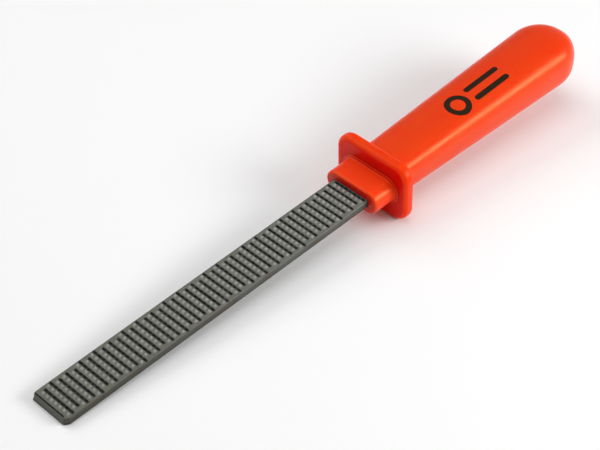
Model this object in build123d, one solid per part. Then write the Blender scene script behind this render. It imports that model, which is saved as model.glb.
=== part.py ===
"""Flat wood rasp with a moulded insulating handle, in millimetres.

The tool lies along X: the tip's end face is at X = 0 and the handle's butt is at the far end of +X.
Z is normal to the toothed faces, and Y runs across them. The origin is the centre of the tip's end face.

The pieces, from the tip to the butt:
    rasp_blade     steel bar with punched teeth on both faces, and its tang forged in one with it
    collar_sleeve  stadium-shaped nose that the bar comes out of, with a foot and a spigot behind it
    hand_guard     rounded plate that keeps the hand off the steel
    grip_body      oval grip that widens towards a domed butt, with the tang's socket inside
"""

import os
from math import cos, pi, sin

from build123d import *

# ---- driving dimensions: the steel ----
BLADE_WIDTH = 22.0
BLADE_THICKNESS = 4.0
BODY_LENGTH = 203.2  # tip to shoulders, a nominal 8 inches
EDGE_CHAMFER = 0.4  # along the four long edges
NEAR_CORNER = (2.2, 1.5)  # what the tip's -Y corner is cut back, along X and along Y
FAR_CORNER = (1.2, 0.6)  # the same for its +Y corner

TANG_LENGTH = 70.0
TANG_ROOT_WIDTH = 11.0
TANG_END_WIDTH = 5.0
TANG_SHOULDER_LENGTH = 7.0
TANG_ROOT_THICKNESS = BLADE_THICKNESS
TANG_END_THICKNESS = 2.4

# ---- driving dimensions: the teeth ----
ROW_PITCH = 4.05  # from one row of teeth to the next, along X
FIRST_ROW = 1.7  # X of the first row's cutting edges
ROW_COUNT = 46
TEETH_PER_ROW = 7
TOOTH_SPACING = 0.68 * ROW_PITCH
STAGGER = (0.0, 0.45, 0.03, 0.48, 0.33, 0.66)  # each row's shift towards -Y, in tooth spacings
TOOTH_WIDTH = 2.7
PIT_LENGTH = 2.5
PIT_DEPTH = 0.9
PIT_BACK_RAKE = 0.1  # how far the cutting face leans back over the pit's depth
TIP_LAND = 0.3  # what the first row's shorter pits leave of the tip's end
ROW_EDGE_MARGIN = 1.7  # from the bar's +Y edge to the first tooth's middle, before the stagger

# ---- driving dimensions: the handle ----
COLLAR_FRONT = 184.4
COLLAR_WIDTH = 32.4
COLLAR_HEIGHT = 12.6
COLLAR_EDGE_ROUND = 1.3
FOOT_OFFSET = 1.6  # how far the collar's foot spreads round it
FOOT_THICKNESS = 0.3
SPIGOT_WIDTH = 27.0
SPIGOT_HEIGHT = 8.6
SPIGOT_INSERTION = 6.0  # into the grip, behind the guard

GUARD_FRONT = 198.0
GUARD_THICKNESS = 6.5
GUARD_WIDTH = 45.0
GUARD_HEIGHT = 33.0
GUARD_CORNER_RADIUS = 8.2
GUARD_RIM_ROUND = 2.4

GRIP_END = 344.0
GRIP_FLARE = 1.7  # the grip's foot spreads by this much against the guard
GRIP_START_HALF_WIDTH = 14.1
GRIP_START_HALF_HEIGHT = 10.0
GRIP_BUTT_HALF_WIDTH = 18.5  # where the sides would reach the butt if it weren't domed
GRIP_BUTT_HALF_HEIGHT = 14.5
GRIP_SQUARENESS_START = 3.1  # superellipse exponent of the section at the guard
GRIP_SQUARENESS_BUTT = 2.5
DOME_LENGTH = 20.0
DOME_FULLNESS_WIDTH = 1.85  # superellipse exponent of the dome seen from above
DOME_FULLNESS_HEIGHT = 2.3  # and from the side
DOME_LAST_SECTION = 0.998  # the dome closes with a small flat at this share of its length
SECTION_POINTS = 40
DOME_SECTIONS = 9

# ---- worked out ----
GUARD_BACK = GUARD_FRONT + GUARD_THICKNESS
GRIP_LENGTH = GRIP_END - GUARD_BACK
DOME_START = GRIP_END - DOME_LENGTH
TANG_END = BODY_LENGTH + TANG_LENGTH


def stadium_bar(width, height, start, end):
    """A bar along X with a stadium section, its flats facing +Z and -Z."""
    section = Plane.YZ.offset(start) * SlotOverall(width, height)
    return extrude(section, end - start)


def tapered_bar(start, start_size, end, end_size):
    """A bar along X that tapers evenly from one rectangle (width, height) to another."""
    first = Plane.YZ.offset(start) * Rectangle(*start_size)
    last = Plane.YZ.offset(end) * Rectangle(*end_size)
    return loft([first, last], ruled=True)


# ---- rasp blade ----
def blade_outline():
    """The bar seen from above: straight sides, and the tip's two corners cut off."""
    half = BLADE_WIDTH / 2
    near_length, near_width = NEAR_CORNER
    far_length, far_width = FAR_CORNER
    points = [
        (0, near_width - half),
        (near_length, -half),
        (BODY_LENGTH, -half),
        (BODY_LENGTH, half),
        (far_length, half),
        (0, half - far_width),
    ]
    return make_face(Polyline(*points, close=True))


def steel_blank():
    """The bar with its chamfered long edges, and the shoulders and tang behind it, before the teeth are cut."""
    bar = extrude(blade_outline(), BLADE_THICKNESS / 2, both=True)
    long_edges = bar.edges().filter_by(Axis.X)
    bar = chamfer(long_edges, EDGE_CHAMFER)
    shoulder_end = BODY_LENGTH + TANG_SHOULDER_LENGTH
    root = (TANG_ROOT_WIDTH, TANG_ROOT_THICKNESS)
    heel = (BLADE_WIDTH - 2 * EDGE_CHAMFER, BLADE_THICKNESS - 2 * EDGE_CHAMFER)
    shoulders = tapered_bar(BODY_LENGTH, heel, shoulder_end, root)
    tang = tapered_bar(shoulder_end, root, TANG_END, (TANG_END_WIDTH, TANG_END_THICKNESS))
    return bar + shoulders + tang


def pit_cutter(length):
    """One punch mark on the top face, its cutting edge along X = 0: a three-sided pyramid whose two
    long facets slope down away from the tip, ending at the steep face of the tooth behind it."""
    clearance = 0.5  # above the face, so that the cut opens it cleanly
    corners = [(-length, 0), (0, -TOOTH_WIDTH / 2), (0, TOOTH_WIDTH / 2)]
    mouth = make_face(Polyline(*corners, close=True))
    pyramid = loft([mouth, Vertex(-PIT_BACK_RAKE, 0, -PIT_DEPTH)])
    return pyramid + extrude(mouth, clearance)


def tooth_places():
    """(x, y) of every tooth on one face that the collar leaves clear."""
    places = []
    for row in range(ROW_COUNT):
        x = FIRST_ROW + row * ROW_PITCH
        shift = STAGGER[row % len(STAGGER)]
        for tooth in range(TEETH_PER_ROW):
            y = BLADE_WIDTH / 2 - ROW_EDGE_MARGIN - (tooth + shift) * TOOTH_SPACING
            if x < COLLAR_FRONT:
                places.append((x, y))
    return places


def rasp_blade():
    """The whole steel piece. The second face's teeth are the first face's, turned over about X."""
    face_z = BLADE_THICKNESS / 2
    top = []
    for x, y in tooth_places():
        length = min(PIT_LENGTH, x - TIP_LAND)
        top.append(Pos(x, y, face_z) * pit_cutter(length))
    bottom = [Rot(180, 0, 0) * pit for pit in top]
    return steel_blank() - (top + bottom)


# ---- handle ----
def collar_sleeve(blank):
    """The nose, its foot against the guard, and the spigot that carries the guard into the grip."""
    nose = stadium_bar(COLLAR_WIDTH, COLLAR_HEIGHT, COLLAR_FRONT, GUARD_FRONT)
    front_rim = nose.faces().sort_by(Axis.X)[0].edges()
    nose = fillet(front_rim, COLLAR_EDGE_ROUND)
    foot = stadium_bar(
        COLLAR_WIDTH + 2 * FOOT_OFFSET,
        COLLAR_HEIGHT + 2 * FOOT_OFFSET,
        GUARD_FRONT - FOOT_THICKNESS,
        GUARD_FRONT,
    )
    spigot = stadium_bar(SPIGOT_WIDTH, SPIGOT_HEIGHT, GUARD_FRONT, GUARD_BACK + SPIGOT_INSERTION)
    return nose + foot + spigot - blank


def hand_guard():
    """A rounded plate with a rounded rim, and a hole that fits the collar's spigot."""
    outline = Plane.YZ.offset(GUARD_FRONT) * RectangleRounded(
        GUARD_WIDTH, GUARD_HEIGHT, GUARD_CORNER_RADIUS
    )
    plate = extrude(outline, GUARD_THICKNESS)
    front = plate.faces().sort_by(Axis.X)[0].edges()
    back = plate.faces().sort_by(Axis.X)[-1].edges()
    plate = fillet(front + back, GUARD_RIM_ROUND)
    return plate - stadium_bar(SPIGOT_WIDTH, SPIGOT_HEIGHT, GUARD_FRONT, GUARD_BACK)


def dome_factor(along, fullness):
    """How much of the width is left at a share `along` of the dome's length."""
    return (1 - along**fullness) ** (1 / fullness)


def grip_section(x, spread=0.0):
    """The grip's closed outline at X = x: a superellipse, slightly squarer near the guard.
    `spread` makes it larger all round."""
    share = (x - GUARD_BACK) / GRIP_LENGTH
    half_width = GRIP_START_HALF_WIDTH + share * (GRIP_BUTT_HALF_WIDTH - GRIP_START_HALF_WIDTH)
    half_height = GRIP_START_HALF_HEIGHT + share * (GRIP_BUTT_HALF_HEIGHT - GRIP_START_HALF_HEIGHT)
    exponent = GRIP_SQUARENESS_START + share * (GRIP_SQUARENESS_BUTT - GRIP_SQUARENESS_START)
    along_dome = max(0.0, (x - DOME_START) / DOME_LENGTH)
    half_width *= dome_factor(along_dome, DOME_FULLNESS_WIDTH)
    half_height *= dome_factor(along_dome, DOME_FULLNESS_HEIGHT)
    half_width += spread
    half_height += spread
    points = []
    for step in range(SECTION_POINTS):
        angle = 2 * pi * step / SECTION_POINTS
        across = abs(cos(angle)) / half_width
        up = abs(sin(angle)) / half_height
        radius = (across**exponent + up**exponent) ** (-1 / exponent)
        points.append((x, radius * cos(angle), radius * sin(angle)))
    even_parameters = [step / SECTION_POINTS for step in range(SECTION_POINTS + 1)]
    outline = Edge.make_spline(points, periodic=True, parameters=even_parameters)
    return make_face(outline)


def dome_stations():
    """Where the dome's sections lie: closing up towards the butt."""
    reach = DOME_LENGTH * DOME_LAST_SECTION
    return [
        DOME_START + reach * sin(pi / 2 * step / DOME_SECTIONS) for step in range(DOME_SECTIONS + 1)
    ]


def grip_body(blank):
    """The grip, with sockets that fit the collar's spigot and the steel behind it."""
    flare_end = GUARD_BACK + GRIP_FLARE
    flare = loft([grip_section(GUARD_BACK, GRIP_FLARE), grip_section(flare_end)], ruled=True)
    shaft = loft([grip_section(flare_end), grip_section(DOME_START)], ruled=True)
    dome = loft([grip_section(x) for x in dome_stations()])
    spigot_socket = stadium_bar(
        SPIGOT_WIDTH, SPIGOT_HEIGHT, GUARD_BACK, GUARD_BACK + SPIGOT_INSERTION
    )
    return flare + shaft + dome - spigot_socket - blank


def main():
    os.makedirs("parts", exist_ok=True)
    blank = steel_blank()
    pieces = {
        "rasp_blade": rasp_blade(),
        "collar_sleeve": collar_sleeve(blank),
        "hand_guard": hand_guard(),
        "grip_body": grip_body(blank),
    }
    for name, piece in pieces.items():
        export_step(piece, f"parts/{name}.step")


main()
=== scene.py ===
"""Looks of the flat wood rasp: steel bar with punched teeth, orange-red moulded handle.

All sizes are in metres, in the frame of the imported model: the tip's end face is at x = 0, +X runs to the
butt, +Y across the toothed faces and +Z out of the upper one.
"""

import math

import bpy
import numpy as np
from mathutils import Matrix, Vector


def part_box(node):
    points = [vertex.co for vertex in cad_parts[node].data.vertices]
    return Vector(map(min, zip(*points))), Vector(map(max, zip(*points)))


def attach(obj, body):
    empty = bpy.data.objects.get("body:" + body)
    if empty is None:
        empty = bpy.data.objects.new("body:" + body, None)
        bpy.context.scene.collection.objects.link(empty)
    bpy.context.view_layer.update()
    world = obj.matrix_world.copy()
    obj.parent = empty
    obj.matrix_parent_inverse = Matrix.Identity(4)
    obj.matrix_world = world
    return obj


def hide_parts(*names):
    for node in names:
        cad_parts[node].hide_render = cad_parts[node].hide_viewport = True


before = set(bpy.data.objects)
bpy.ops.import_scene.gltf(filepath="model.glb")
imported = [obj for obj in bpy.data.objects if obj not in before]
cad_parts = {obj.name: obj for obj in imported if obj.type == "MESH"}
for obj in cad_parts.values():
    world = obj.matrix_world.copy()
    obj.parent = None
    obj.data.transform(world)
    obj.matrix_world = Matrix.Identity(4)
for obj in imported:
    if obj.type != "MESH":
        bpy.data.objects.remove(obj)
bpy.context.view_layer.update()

MM = 0.001
ROUNDING = 1e-9  # of a length, and far below any step between stations
blade_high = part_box("rasp_blade")[1]
collar_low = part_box("collar_sleeve")[0]
guard_low, guard_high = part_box("hand_guard")
grip_low, grip_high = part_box("grip_body")

# ---- steel ----
BODY_LENGTH = 203.2 * MM
HALF_WIDTH = blade_high.y
HALF_THICKNESS = blade_high.z
EDGE_CHAMFER = 0.3 * MM
# The tip's cut corners, as (length, width), and its bevel, as (length, drop) of the upper face.
NEAR_CORNER = (2.2 * MM, 1.5 * MM)
FAR_CORNER = (1.6 * MM, 1.1 * MM)
FAR_CORNER_FOOT = (0.1 * MM, 0.05 * MM)
TIP_BEVEL = (0.8 * MM, 1.6 * MM)
SHOULDER_LENGTH = 7.0 * MM
TANG_ROOT_HALF = (5.5 * MM, 2.0 * MM)
TANG_END_HALF = (2.5 * MM, 1.2 * MM)
EDGE_STATION = 0.15 * MM  # this near the end, it keeps the shading of the end's edge crisp
COLLAR_STATION = 3.0 * MM  # this far inside the collar
BLADE_SHARP_ANGLE = 28

# ---- teeth ----
ROW_PITCH = 4.05 * MM
FIRST_ROW = 1.93 * MM
WORN_ROW_SHIFT = 0.4 * MM
WORN_PIT_LENGTH = 0.7 * MM
ROW_COUNT = 46
ROW_JITTER = 0.04 * MM
TEETH_PER_ROW = 7
TOOTH_SPACING = 0.68 * ROW_PITCH
COLUMNS_PER_TOOTH = 10
COLUMN_RANGE = (-90, 10)  # counted from the first tooth's middle, and more than the bar's width
LEAST_COLUMN_GAP = 0.05 * MM
ROW_EDGE_MARGIN = 1.7 * MM
STAGGER = (0.0, 0.5, 0.0, 0.5, 0.3, 0.7)
TIP_LAND = 0.3 * MM
TEETH_INTO_COLLAR = 1.0 * MM
# Each tooth is a rounded lump raised on the tip side of the hollow that the punch left.
PIT_LENGTH = 1.5 * MM
PIT_WIDTH = 3.05 * MM
PIT_DEPTH = 0.85 * MM
PIT_LEAN = 0.12  # how far a pit's middle shifts along the row, for each unit along the bar
PIT_STEPS = np.array([1.0, 0.95, 0.8, 0.5, 0.2, 0.05, 0.0])  # stations, as shares of the length
LUMP_LENGTH = 2.1 * MM
LUMP_WIDTH = 2.1 * MM
LUMP_HEIGHT = 0.28 * MM
LUMP_LEAN = 0.3
LUMP_STEPS = np.array([0.12, 0.3, 0.5, 0.75, 1.0])
LUMP_SKEW = 0.6  # below 1, a lump is highest nearer its pit
TOOTH_STRENGTH_SPREAD = 0.15
TOOTH_STRENGTHS = (0.75, 1.3)
GRIME_AND_SHADE_DEPTHS = (0.15 * MM, 0.5 * MM)
SIDE_PAINTED_SHADE = (0.4, 0.65)  # painted shade of a bar side's two edges: the one nearer the upper face, the other

# ---- handle ----
COLLAR_FRONT = collar_low.x
COLLAR_HALF = (16.2 * MM, 6.3 * MM)
COLLAR_EDGE_ROUND = 1.3 * MM
COLLAR_MOUTH = 0.25 * MM  # the gap round the bar
MOUTH_RADIUS = 0.6 * MM
MOUTH_DEPTH = 1.2 * MM
COLLAR_FILLET = 0.5 * MM
FOOT_OFFSET = 1.6 * MM
FOOT_THICKNESS = 0.3 * MM
FOOT_EDGE = 0.2 * MM
FOOT_EDGE_SHARES = ((0.0, 1.0), (0.3, 0.3), (1.0, 0.0))  # of FOOT_EDGE, along the tool and inward
FOOT_OVERLAP = 0.2 * MM  # how far the foot goes into the guard
STRAIGHT_STATION = 4.0 * MM  # from the collar's front, where its sides are straight
NOSE_STEPS = {"corner_steps": 16, "side_steps": 12}
GUARD_CORNER_RADIUS = 8.2 * MM
GUARD_RIM_ROUND = 2.4 * MM
# Of the grip: half width and half height, then how square its section is, at the guard and the butt.
GRIP_START_HALF = (14.1 * MM, 10.0 * MM)
GRIP_BUTT_HALF = (18.5 * MM, 14.5 * MM)
GRIP_EXPONENTS = (3.1, 2.5)
GRIP_FLARE = 1.7 * MM
CREASE = 0.2 * MM
GRIP_RING_SIZE = 128
GRIP_RINGS = 30
DOME_LENGTH = 20.0 * MM
DOME_FULLNESS = (1.85, 2.3)
DOME_RINGS = 28
HANDLE_SHARP_ANGLE = 50
GRIP_SHARP_ANGLE = 60


# ---------------------------------------------------------------- meshes
def ring_mesh(name, rings, body="root"):
    """A closed mesh through rings of equally many points, with a flat cap on each end."""
    rings = np.asarray(rings, float)
    ring_count, ring_size = rings.shape[:2]
    faces = []
    for ring in range(ring_count - 1):
        for step in range(ring_size):
            after = (step + 1) % ring_size
            here, above = ring * ring_size, (ring + 1) * ring_size
            faces.append((here + step, here + after, above + after, above + step))
    faces.append(tuple(range(ring_size))[::-1])
    faces.append(tuple(range((ring_count - 1) * ring_size, ring_count * ring_size)))
    mesh = bpy.data.meshes.new(name)
    mesh.from_pydata(rings.reshape(-1, 3).tolist(), [], faces)
    mesh.validate()
    piece = bpy.data.objects.new(name, mesh)
    bpy.context.scene.collection.objects.link(piece)
    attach(piece, body)
    return piece


def soften(piece, angle):
    """Smooth shading, with edges over this angle kept sharp."""
    piece.data.polygons.foreach_set("use_smooth", [True] * len(piece.data.polygons))
    piece.data.set_sharp_from_angle(angle=math.radians(angle))


# ---------------------------------------------------------------- blade
def pit_length(row):
    """The tip's own row is worn: only short pits are left of it, and no lumps."""
    return PIT_LENGTH if row > 0 else WORN_PIT_LENGTH


def tooth_heights(row_positions, x, across, strengths):
    """Height of the toothed face above its flat at station x, for each place across it."""
    height = np.zeros_like(across)
    after = int(np.searchsorted(row_positions, x - ROUNDING))
    if after == ROW_COUNT:
        return height
    ahead = row_positions[after] - x
    length = pit_length(after)
    shift = STAGGER[after % len(STAGGER)]
    for tooth in range(TEETH_PER_ROW):
        middle = HALF_WIDTH - ROW_EDGE_MARGIN - (tooth + shift) * TOOTH_SPACING
        strength = strengths[after, tooth]
        along = ahead / length * 2 - 1
        aside = (across - middle + PIT_LEAN * ahead) / (PIT_WIDTH / 2)
        hollow = np.clip(1 - along**4 - aside**2, 0, 1) ** 0.5
        behind = (ahead - length) / LUMP_LENGTH
        aside = (across - middle + LUMP_LEAN * (ahead - length)) / (LUMP_WIDTH / 2)
        rise = math.sin(math.pi * behind**LUMP_SKEW) if after > 0 and 0 < behind < 1 else 0.0
        lump = rise * np.clip(1 - aside**2, 0, 1)
        height += strength * (LUMP_HEIGHT * lump - PIT_DEPTH * hollow)
    return height


def corner_cut(corner, x):
    """How much one of the tip's cut corners, or its bevel, takes away at station x."""
    length, width = corner
    return max(0.0, width * (1 - x / length))


def blade_sides(x):
    """(y of the near side, y of the far side, half thickness) of the steel at station x."""
    near, far, half_thickness = -HALF_WIDTH, HALF_WIDTH, HALF_THICKNESS
    shoulder_end = BODY_LENGTH + SHOULDER_LENGTH
    if x <= BODY_LENGTH:
        near += corner_cut(NEAR_CORNER, x)
        far -= corner_cut(FAR_CORNER, x)
    elif x <= shoulder_end:
        share = (x - BODY_LENGTH) / SHOULDER_LENGTH
        far = HALF_WIDTH + share * (TANG_ROOT_HALF[0] - HALF_WIDTH)
        near = -far
    else:
        share = (x - shoulder_end) / (blade_high.x - shoulder_end)
        far, half_thickness = (a + share * (b - a) for a, b in zip(TANG_ROOT_HALF, TANG_END_HALF))
        near = -far
    return near, far, half_thickness


def blade_stations(row_positions):
    """Stations along the bar: close together where a row's pits are cut."""
    stations = [0.0, EDGE_STATION]
    stations += [FAR_CORNER_FOOT[0], FAR_CORNER[0], NEAR_CORNER[0], TIP_BEVEL[0]]
    for row, position in enumerate(row_positions):
        steps = [*pit_length(row) * PIT_STEPS, *pit_length(row) + LUMP_LENGTH * LUMP_STEPS]
        stations += [position - step for step in steps if position - step > TIP_LAND]
    stations += [COLLAR_FRONT + COLLAR_STATION, BODY_LENGTH, BODY_LENGTH + SHOULDER_LENGTH, blade_high.x]
    return sorted(set(round(s, 6) for s in stations))


def rasp_blade():
    """The bar and its tang, as rings from the tip: the upper face, far side, under face, near side."""
    rng = np.random.default_rng(7)
    rows = FIRST_ROW + ROW_PITCH * np.arange(ROW_COUNT) + rng.normal(0, ROW_JITTER, ROW_COUNT)
    rows[0] -= WORN_ROW_SHIFT
    strengths = [
        np.clip(rng.normal(1, TOOTH_STRENGTH_SPREAD, (ROW_COUNT, TEETH_PER_ROW)), *TOOTH_STRENGTHS)
        for _ in range(2)
    ]
    flat_half = HALF_WIDTH - EDGE_CHAMFER
    column = TOOTH_SPACING / COLUMNS_PER_TOOTH
    columns = HALF_WIDTH - ROW_EDGE_MARGIN + column * np.arange(*COLUMN_RANGE)
    columns = columns[np.abs(columns) < flat_half - LEAST_COLUMN_GAP]
    columns = np.concatenate([[-flat_half], columns, [flat_half]])
    # painted shade on the bar's sides, given as pit depths
    side = list(np.interp(SIDE_PAINTED_SHADE, (0, 1), GRIME_AND_SHADE_DEPTHS))
    rings, depths = [], []
    for x in blade_stations(rows):
        near, far, half_thickness = blade_sides(x)
        across = np.interp(columns, [-flat_half, flat_half], [near + EDGE_CHAMFER, far - EDGE_CHAMFER])
        toothed = TIP_LAND < x < COLLAR_FRONT + TEETH_INTO_COLLAR
        upper, lower = (
            tooth_heights(rows, x, across, strength) if toothed else 0 * across for strength in strengths
        )
        top = half_thickness - corner_cut(TIP_BEVEL, x)
        side_z = half_thickness - EDGE_CHAMFER
        far_foot = far + corner_cut(FAR_CORNER, x) - corner_cut(FAR_CORNER_FOOT, x)
        foot_ends = [near + EDGE_CHAMFER, far_foot - EDGE_CHAMFER]
        across_foot = np.interp(columns, [-flat_half, flat_half], foot_ends)
        ring = [(x, y, top + h) for y, h in zip(across, upper)]
        ring += [(x, far, top - EDGE_CHAMFER), (x, far_foot, -side_z)]
        ring += [(x, y, -half_thickness - h) for y, h in zip(across_foot[::-1], lower[::-1])]
        ring += [(x, near, -side_z), (x, near, top - EDGE_CHAMFER)]
        rings.append(ring)
        # the chamfers get the sides' painted shade too, which dims their highlight
        upper[[0, -1]] = lower[[0, -1]] = -side[0]
        depths.append([*-upper, *side, *-lower[::-1], *side[::-1]])
    piece = ring_mesh("blade_steel", rings)
    # painted shade in the deep part of each pit, partly grime, and on the bar's sides
    grime_and_painted_shade = np.interp(depths, GRIME_AND_SHADE_DEPTHS, (0, 1)).ravel()
    # lump crests: polish from wear, and painted highlight
    worn_and_highlit = np.clip(-np.array(depths) / LUMP_HEIGHT, 0, 1).ravel()
    for name, values in (("grime_and_painted_shade", grime_and_painted_shade), ("worn_and_highlit", worn_and_highlit)):
        piece.data.attributes.new(name, "FLOAT", "POINT").data.foreach_set("value", values)
    soften(piece, BLADE_SHARP_ANGLE)
    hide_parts("rasp_blade")
    return piece


# ---------------------------------------------------------------- handle
def rounded_rectangle(x, half_width, half_height, radius, corner_steps, side_steps):
    """A ring at station x: straight sides and four round corners."""
    radius = min(radius, half_width, half_height)
    corners = ((1, 1), (-1, 1), (-1, -1), (1, -1))
    ring = []
    for quarter, (side_y, side_z) in enumerate(corners):
        centre_y, centre_z = side_y * (half_width - radius), side_z * (half_height - radius)
        for step in range(corner_steps + 1):
            angle = math.pi / 2 * (quarter + step / corner_steps)
            ring.append((x, centre_y + radius * math.cos(angle), centre_z + radius * math.sin(angle)))
        next_y, next_z = corners[(quarter + 1) % 4]
        last = ring[-1]
        angle = math.pi / 2 * (quarter + 1)
        target_y = next_y * (half_width - radius) + radius * math.cos(angle)
        target_z = next_z * (half_height - radius) + radius * math.sin(angle)
        for step in range(1, side_steps):
            share = step / side_steps
            ring.append((x, last[1] + share * (target_y - last[1]), last[2] + share * (target_z - last[2])))
    return ring


def arc(steps=8):
    """(sine, one minus cosine) pairs of a quarter turn."""
    return [
        (math.sin(math.pi / 2 * s / steps), 1 - math.cos(math.pi / 2 * s / steps))
        for s in range(steps + 1)
    ]


def collar_sleeve():
    """The nose: its mouth round the bar, a rounded front edge, straight sides, a fillet and a foot."""
    half_width, half_height = COLLAR_HALF
    guard_front = guard_low.x
    foot_front = guard_front - FOOT_THICKNESS

    def stadium(x, offset):
        radius = half_height + offset
        return rounded_rectangle(x, half_width + offset, radius, radius, **NOSE_STEPS)

    def mouth(x):
        sides = (HALF_WIDTH + COLLAR_MOUTH, HALF_THICKNESS + COLLAR_MOUTH)
        return rounded_rectangle(x, *sides, MOUTH_RADIUS, **NOSE_STEPS)

    rings = [mouth(COLLAR_FRONT + MOUTH_DEPTH), mouth(COLLAR_FRONT)]
    for turn, rise in arc():
        offset = -COLLAR_EDGE_ROUND * (1 - turn)
        rings.append(stadium(COLLAR_FRONT + COLLAR_EDGE_ROUND * rise, offset))
    rings.append(stadium(COLLAR_FRONT + STRAIGHT_STATION, 0))
    for turn, rise in arc(steps=5):
        rings.append(stadium(foot_front - COLLAR_FILLET * (1 - turn), COLLAR_FILLET * rise))
    for along, inset in FOOT_EDGE_SHARES:
        rings.append(stadium(foot_front + FOOT_EDGE * along, FOOT_OFFSET - FOOT_EDGE * inset))
    rings.append(stadium(guard_front + FOOT_OVERLAP, FOOT_OFFSET))
    piece = ring_mesh("collar_nose", rings)
    soften(piece, HANDLE_SHARP_ANGLE)
    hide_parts("collar_sleeve")
    return piece


def hand_guard():
    """The guard: a plate with round corners and a fully rounded rim."""
    half_width, half_height = guard_high.y, guard_high.z
    front, back = guard_low.x, guard_high.x
    face_inset = 7.5 * MM
    rim_inset = GUARD_RIM_ROUND + 1 * MM
    least_radius = 1 * MM

    def plate(x, inset):
        radius = max(GUARD_CORNER_RADIUS - inset, least_radius)
        sides = (half_width - inset, half_height - inset)
        return rounded_rectangle(x, *sides, radius, corner_steps=16, side_steps=10)

    rings = [plate(front, face_inset), plate(front, rim_inset)]
    for turn, rise in arc():
        rings.append(plate(front + GUARD_RIM_ROUND * rise, GUARD_RIM_ROUND * (1 - turn)))
    for turn, rise in arc():
        rings.append(plate(back - GUARD_RIM_ROUND * (1 - turn), GUARD_RIM_ROUND * rise))
    rings.append(plate(back, face_inset))
    piece = ring_mesh("guard_plate", rings)
    soften(piece, HANDLE_SHARP_ANGLE)
    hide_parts("hand_guard")
    return piece


def grip_size(x):
    """(half width, half height, exponent) of the grip's superellipse section at station x."""
    start, end = grip_low.x, grip_high.x
    share = (x - start) / (end - start)
    sizes = [a + share * (b - a) for a, b in zip(GRIP_START_HALF, GRIP_BUTT_HALF)]
    along = max(0.0, (x - (end - DOME_LENGTH)) / DOME_LENGTH)
    sizes = [s * (1 - min(along, 1) ** f) ** (1 / f) for s, f in zip(sizes, DOME_FULLNESS)]
    return sizes[0], sizes[1], GRIP_EXPONENTS[0] + share * (GRIP_EXPONENTS[1] - GRIP_EXPONENTS[0])


def superellipse(x, half_width, half_height, exponent):
    """A ring at station x, between an ellipse (exponent 2) and a rectangle."""
    angles = 2 * math.pi * np.arange(GRIP_RING_SIZE) / GRIP_RING_SIZE
    cosine, sine = np.cos(angles), np.sin(angles)
    radius = (np.abs(cosine) / half_width) ** exponent + (np.abs(sine) / half_height) ** exponent
    radius = radius ** (-1 / exponent)
    return np.stack([np.full(GRIP_RING_SIZE, x), radius * cosine, radius * sine], axis=1)


def rise_of_flare(share):
    """Height of the grip's hollow-curved foot, from 1 at the guard to 0 at its end."""
    return 1 - math.sqrt(max(0.0, 1 - (1 - share) ** 2))


def grip_body():
    """The grip: a crease and a hollow flare at the guard, then the widening body and the domed butt."""
    start, end = grip_low.x, grip_high.x
    first_half = [half + GRIP_FLARE - CREASE for half in GRIP_START_HALF]
    rings = [superellipse(start, *first_half, GRIP_EXPONENTS[0])]
    for turn, _ in arc():
        x = start + CREASE + (GRIP_FLARE - CREASE) * turn
        half_width, half_height, exponent = grip_size(x)
        flare = GRIP_FLARE * rise_of_flare(turn)
        rings.append(superellipse(x, half_width + flare, half_height + flare, exponent))
    for x in np.linspace(start + GRIP_FLARE, end - DOME_LENGTH, GRIP_RINGS)[1:]:
        rings.append(superellipse(x, *grip_size(x)))
    for step in range(1, DOME_RINGS):
        x = end - DOME_LENGTH + DOME_LENGTH * math.sin(math.pi / 2 * step / DOME_RINGS)
        rings.append(superellipse(x, *grip_size(x)))
    piece = ring_mesh("grip_moulding", rings)
    soften(piece, GRIP_SHARP_ANGLE)
    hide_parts("grip_body")
    return piece


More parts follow.
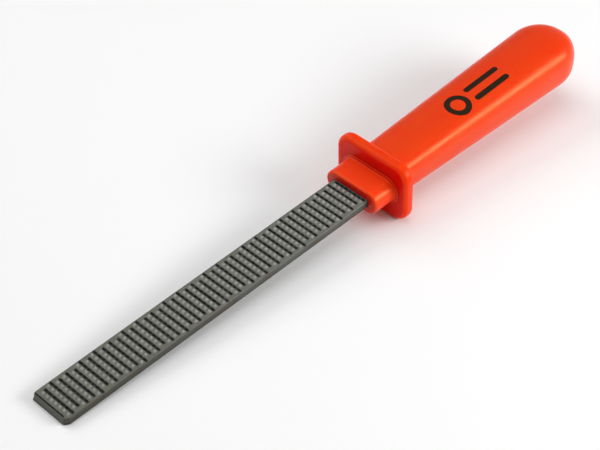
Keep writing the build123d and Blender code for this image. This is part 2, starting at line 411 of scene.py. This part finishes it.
# ---------------------------------------------------------------- materials
class Shading:
    """A new node material, with short ways to add nodes to it."""

    def __init__(self, name):
        self.material = bpy.data.materials.new(name)
        self.material.use_nodes = True
        self.nodes = self.material.node_tree.nodes
        self.links = self.material.node_tree.links
        self.shader = self.nodes["Principled BSDF"]

    def constants(self, **values):
        """Sets the shader's own sockets: Base_Color stands for Base Color."""
        for name, value in values.items():
            self.shader.inputs[name.replace("_", " ")].default_value = value

    def feed(self, output, name):
        self.links.new(output, self.shader.inputs[name])

    def plug(self, value, socket):
        """Links an output into a socket, or sets a plain value on it."""
        if isinstance(value, bpy.types.NodeSocket):
            self.links.new(value, socket)
        else:
            socket.default_value = value

    def math(self, operation, first, second=0.0):
        node = self.nodes.new("ShaderNodeMath")
        node.operation = operation
        self.plug(first, node.inputs[0])
        self.plug(second, node.inputs[1])
        return node.outputs[0]

    def remap(self, value, old_low, old_high, new_low, new_high):
        node = self.nodes.new("ShaderNodeMapRange")
        for socket, item in zip(node.inputs, (value, old_low, old_high, new_low, new_high)):
            self.plug(item, socket)
        return node.outputs[0]

    def blend(self, share, first, second):
        """A colour that goes from the first to the second."""
        node = self.nodes.new("ShaderNodeMix")
        node.data_type = "RGBA"
        for name, item in (("Factor_Float", share), ("A_Color", first), ("B_Color", second)):
            self.plug(item, next(socket for socket in node.inputs if socket.identifier == name))
        return next(socket for socket in node.outputs if socket.identifier == "Result_Color")

    def attribute(self, name):
        node = self.nodes.new("ShaderNodeAttribute")
        node.attribute_name = name
        return node.outputs["Fac"]

    def place(self):
        """Where the point lies on the part, in metres."""
        return self.nodes.new("ShaderNodeTexCoord").outputs["Object"]

    def normal(self):
        """Which way the surface faces, along the part's axes."""
        return self.nodes.new("ShaderNodeTexCoord").outputs["Normal"]

    def split(self, vector):
        node = self.nodes.new("ShaderNodeSeparateXYZ")
        self.links.new(vector, node.inputs[0])
        return node.outputs

    def noise(self, size, detail=2.0, stretch=(1, 1, 1)):
        """Noise from 0 to 1 whose grains are this large; stretch makes them longer along an axis."""
        mapping = self.nodes.new("ShaderNodeMapping")
        mapping.inputs["Scale"].default_value = [1 / (size * longer) for longer in stretch]
        self.links.new(self.place(), mapping.inputs["Vector"])
        node = self.nodes.new("ShaderNodeTexNoise")
        node.inputs["Scale"].default_value = 1.0
        node.inputs["Detail"].default_value = detail
        self.links.new(mapping.outputs["Vector"], node.inputs["Vector"])
        return node.outputs["Fac"]

    def bump(self, height, depth):
        """Fine relief: `height` from 0 to 1 stands for this depth in metres."""
        node = self.nodes.new("ShaderNodeBump")
        node.inputs["Distance"].default_value = depth
        self.links.new(height, node.inputs["Height"])
        self.feed(node.outputs["Normal"], "Normal")


# The handle's print: a ring and two bars, each bar given as (start x, end x, y).
RING_MIDDLE = (257.0 * MM, -3.2 * MM)
RING_RADIUS = 5.4 * MM
PRINT_BARS = ((268.0 * MM, 289.5 * MM, 0.9 * MM), (268.0 * MM, 289.5 * MM, -6.5 * MM))
PRINT_LINE = 3.1 * MM
PRINT_EDGE = 0.08 * MM


def printed_mark(shading):
    """1 where the ink is, on the grip's upper side, and 0 elsewhere."""
    x, y, z = shading.split(shading.place())

    def length(dx, dy):
        squares = (shading.math("MULTIPLY", d, d) for d in (dx, dy))
        return shading.math("SQRT", shading.math("ADD", *squares))

    ring = length(
        shading.math("SUBTRACT", x, RING_MIDDLE[0]), shading.math("SUBTRACT", y, RING_MIDDLE[1])
    )
    distance = shading.math("ABSOLUTE", shading.math("SUBTRACT", ring, RING_RADIUS))
    for start, end, bar_y in PRINT_BARS:
        nearest = shading.math("MINIMUM", shading.math("MAXIMUM", x, start), end)
        bar = length(shading.math("SUBTRACT", x, nearest), shading.math("SUBTRACT", y, bar_y))
        distance = shading.math("MINIMUM", distance, bar)
    half_line = PRINT_LINE / 2
    ink = shading.remap(distance, half_line - PRINT_EDGE, half_line + PRINT_EDGE, 1.0, 0.0)
    return shading.math("MULTIPLY", ink, shading.math("GREATER_THAN", z, 0.0))


# Each plastic is (base colour, a slightly faded one, specular level, how much light goes into it).
GRIP_PLASTIC = ((0.79, 0.037, 0.001, 1), (0.75, 0.042, 0.001, 1), 0.95, 1.0)
GUARD_PLASTIC = ((0.78, 0.036, 0.001, 1), (0.74, 0.041, 0.001, 1), 0.48, 1.0)
COLLAR_PLASTIC = ((0.90, 0.031, 0.001, 1), (0.86, 0.035, 0.001, 1), 0.95, 0.0)
# Faces turned to the tip get a deeper red: painted shade, for the shade that falls on them.
TIP_FACING_SHADE_RED = (0.66, 0.0015, 0.0005, 1)
TIP_FACING_SHADE_NORMALS = (-0.985, -0.88)
INK = (0.001, 0.001, 0.002, 1)
FADING_SIZE = 18 * MM
PLASTIC_ROUGHNESS = (0.32, 0.38)
HANDLED_PATCH_SIZE = 9 * MM
MOULD_GRAIN_SIZE = 1.6 * MM
MOULD_GRAIN_DEPTH = 0.07 * MM
# Most of a noise lies between these values, so they are stretched to a property's whole range.
NOISE_RANGE = (0.3, 0.7)


def plastic(name, recipe, printed=False):
    """Semi-gloss moulded plastic that lets red light through a little."""
    base, faded, gloss, depth = recipe
    shading = Shading(name)
    shading.constants(
        IOR=1.38,
        Specular_IOR_Level=gloss,
        Specular_Tint=(1.0, 0.66, 0.24, 1),
        Subsurface_Weight=depth,
        Subsurface_Radius=(1.0, 0.05, 0.02),
        Subsurface_Scale=10 * MM,
    )
    colour = shading.blend(shading.noise(FADING_SIZE), base, faded)
    to_butt = shading.split(shading.normal())[0]
    # painted shade: faces turned to the tip are blended to the deeper red
    colour = shading.blend(shading.remap(to_butt, *TIP_FACING_SHADE_NORMALS, 0.0, 1.0), TIP_FACING_SHADE_RED, colour)
    if printed:
        colour = shading.blend(printed_mark(shading), colour, INK)
    shading.feed(colour, "Base Color")
    handled = shading.remap(shading.noise(HANDLED_PATCH_SIZE), *NOISE_RANGE, *PLASTIC_ROUGHNESS)
    shading.feed(handled, "Roughness")
    shading.bump(shading.noise(MOULD_GRAIN_SIZE), MOULD_GRAIN_DEPTH)
    return shading.material


STEEL = (0.19, 0.192, 0.173, 1)
STEEL_DULL = (0.107, 0.1125, 0.0885, 1)
STEEL_WORN_AND_HIGHLIT = (0.36, 0.36, 0.34, 1)
RUST = (0.13, 0.085, 0.055, 1)
GRIME_AND_PAINTED_SHADE = (0.012, 0.012, 0.009, 1)
STEEL_METALLIC = 0.5
STEEL_ROUGHNESS = (0.48, 0.62)
STEEL_GRAIN_SIZE = 0.25 * MM
STEEL_GRAIN_STRETCH = (12, 1, 1)
STEEL_GRAIN_DEPTH = 0.01 * MM
DULL_PATCH_SIZE = 5 * MM
DULL_PATCH_SHARE = 0.7
# The pairs below are values at the tip and at the collar.
DULLNESS = (0.55, 0.0)
EDGE_DARKENING = (0.4, -0.7)  # added to the one above, on the bar's two edges: darker towards the tip, lighter towards the collar
CREST_WEAR_AND_HIGHLIGHT = (0.6, 1.0)
EDGE_NORMALS = (0.6, 0.95)
RUST_PATCH_SIZE = 14 * MM
RUST_NOISE = (0.42, 0.62)
MOST_RUST = 0.5


def steel():
    """Satin ground steel, with grime and painted shade in the punched pits, painted shade on its sides,
    tooth crests lightened by wear and painted highlight, and faint rust along its edges.
    """
    shading = Shading("rasp_steel")
    shading.constants(Metallic=STEEL_METALLIC)
    grain = shading.noise(STEEL_GRAIN_SIZE, stretch=STEEL_GRAIN_STRETCH)
    patches = shading.math("MULTIPLY", shading.noise(DULL_PATCH_SIZE, detail=4.0), DULL_PATCH_SHARE)
    along = shading.split(shading.place())[0]
    used = shading.remap(along, 0.0, COLLAR_FRONT, *DULLNESS)
    to_side = shading.math("ABSOLUTE", shading.split(shading.normal())[1])
    edge = shading.remap(to_side, *EDGE_NORMALS, 0.0, 1.0)
    edge_darkening = shading.math("MULTIPLY", edge, shading.remap(along, 0.0, COLLAR_FRONT, *EDGE_DARKENING))
    dulled = shading.math("ADD", patches, shading.math("ADD", used, edge_darkening))
    colour = shading.blend(dulled, STEEL, STEEL_DULL)
    stained = shading.remap(shading.noise(RUST_PATCH_SIZE, detail=4.0), *RUST_NOISE, 0.0, MOST_RUST)
    colour = shading.blend(shading.math("MULTIPLY", edge, stained), colour, RUST)
    # tooth crests lighter: polish from wear, and painted highlight
    crest_wear = shading.remap(along, 0.0, COLLAR_FRONT, *CREST_WEAR_AND_HIGHLIGHT)
    crest = shading.math("MULTIPLY", shading.attribute("worn_and_highlit"), crest_wear)
    colour = shading.blend(crest, colour, STEEL_WORN_AND_HIGHLIT)
    # painted shade in the pits, partly grime, and on the bar's sides and chamfers
    colour = shading.blend(shading.attribute("grime_and_painted_shade"), colour, GRIME_AND_PAINTED_SHADE)
    shading.feed(colour, "Base Color")
    shading.feed(shading.remap(grain, *NOISE_RANGE, *STEEL_ROUGHNESS), "Roughness")
    shading.bump(grain, STEEL_GRAIN_DEPTH)
    return shading.material


def dress(piece, material):
    """Makes this the piece's only material."""
    piece.data.materials.clear()
    piece.data.materials.append(material)


# ---------------------------------------------------------------- stage
CAMERA_AIM = Vector((152.33 * MM, 2.12 * MM, 0))
CAMERA_DISTANCE = 815.2 * MM
CAMERA_AZIMUTH = math.radians(-44.633)
CAMERA_ELEVATION = math.radians(44.052)
CAMERA_ROLL = math.radians(-1.2276)
CAMERA_LENS = 105.52
FLOOR_HALF_SIZE = 6.0
FLOOR_COLOUR = (0.9, 0.9, 0.9, 1)
FLOOR_ROUGHNESS = 0.9


def make_camera():
    """A long lens over the near side of the tip, looking along the tool and down at it."""
    back = Vector((
        math.sin(CAMERA_AZIMUTH) * math.cos(CAMERA_ELEVATION),
        -math.cos(CAMERA_AZIMUTH) * math.cos(CAMERA_ELEVATION),
        math.sin(CAMERA_ELEVATION),
    ))
    data = bpy.data.cameras.new("camera")
    data.lens = CAMERA_LENS
    camera = bpy.data.objects.new("camera", data)
    camera.matrix_world = (
        Matrix.Translation(CAMERA_AIM + back * CAMERA_DISTANCE)
        @ back.to_track_quat("Z", "Y").to_matrix().to_4x4()
        @ Matrix.Rotation(CAMERA_ROLL, 4, "Z")
    )
    bpy.context.scene.collection.objects.link(camera)
    bpy.context.scene.camera = camera


def make_floor():
    """A pale floor that the tool rests on: it touches the tip's lower edge and the guard's."""
    tilt = math.atan2(guard_high.z - HALF_THICKNESS, (guard_low.x + guard_high.x) / 2)
    mesh = bpy.data.meshes.new("floor")
    signs = ((-1, -1), (1, -1), (1, 1), (-1, 1))
    corners = [(x * FLOOR_HALF_SIZE, y * FLOOR_HALF_SIZE, 0) for x, y in signs]
    mesh.from_pydata(corners, [], [(0, 1, 2, 3)])
    floor = bpy.data.objects.new("floor", mesh)
    floor.location = (0, 0, -HALF_THICKNESS)
    floor.rotation_euler = (0, tilt, 0)
    bpy.context.scene.collection.objects.link(floor)
    material = bpy.data.materials.new("pale_floor")
    material.use_nodes = True
    shader = material.node_tree.nodes["Principled BSDF"]
    shader.inputs["Base Color"].default_value = FLOOR_COLOUR
    shader.inputs["Roughness"].default_value = FLOOR_ROUGHNESS
    mesh.materials.append(material)


# Each softbox is (name, direction from the tool, distance, width and height in metres, watts).
SOFTBOXES = (
    ("key", (0.5, -0.8, 0.5), 1.2, (0.5, 0.5), 3.6),
    ("key_strip", (0.5, -0.8, 0.4), 1.2, (1.0, 0.3), 7.4),
    ("top", (0.0, 0.0, 1.0), 1.2, (1.0, 1.0), 4.8),
    ("back", (0.0, 0.75, 0.66), 1.4, (0.8, 0.8), 5.4),
    ("back_left", (-0.53, 0.53, 0.66), 1.4, (0.8, 0.8), 2.0),
)
LIGHTS_AIM = Vector((200 * MM, 0, 0))
WORLD_COLOUR = (1, 1, 1, 1)
WORLD_STRENGTH = 0.28


def softbox(name, direction, distance, size, power):
    """A rectangular light that shines on the middle of the tool from this direction."""
    data = bpy.data.lights.new(name, "AREA")
    data.shape = "RECTANGLE"
    data.size, data.size_y = size
    data.energy = power
    light = bpy.data.objects.new(name, data)
    towards = Vector(direction).normalized()
    light.location = LIGHTS_AIM + towards * distance
    light.rotation_mode = "QUATERNION"
    light.rotation_quaternion = towards.to_track_quat("Z", "Y")
    bpy.context.scene.collection.objects.link(light)


def make_light():
    """Soft, nearly shadowless studio light, with a strip that draws the highlight along the grip."""
    scene = bpy.context.scene
    scene.view_settings.view_transform = "Standard"
    world = bpy.data.worlds.new("studio")
    world.use_nodes = True
    background = world.node_tree.nodes["Background"]
    background.inputs["Color"].default_value = WORLD_COLOUR
    background.inputs["Strength"].default_value = WORLD_STRENGTH
    scene.world = world
    for light in SOFTBOXES:
        softbox(*light)


def main():
    make_camera()
    make_floor()
    make_light()
    dress(rasp_blade(), steel())
    dress(collar_sleeve(), plastic("collar_plastic", COLLAR_PLASTIC))
    dress(hand_guard(), plastic("guard_plastic", GUARD_PLASTIC))
    dress(grip_body(), plastic("grip_plastic", GRIP_PLASTIC, printed=True))


main()
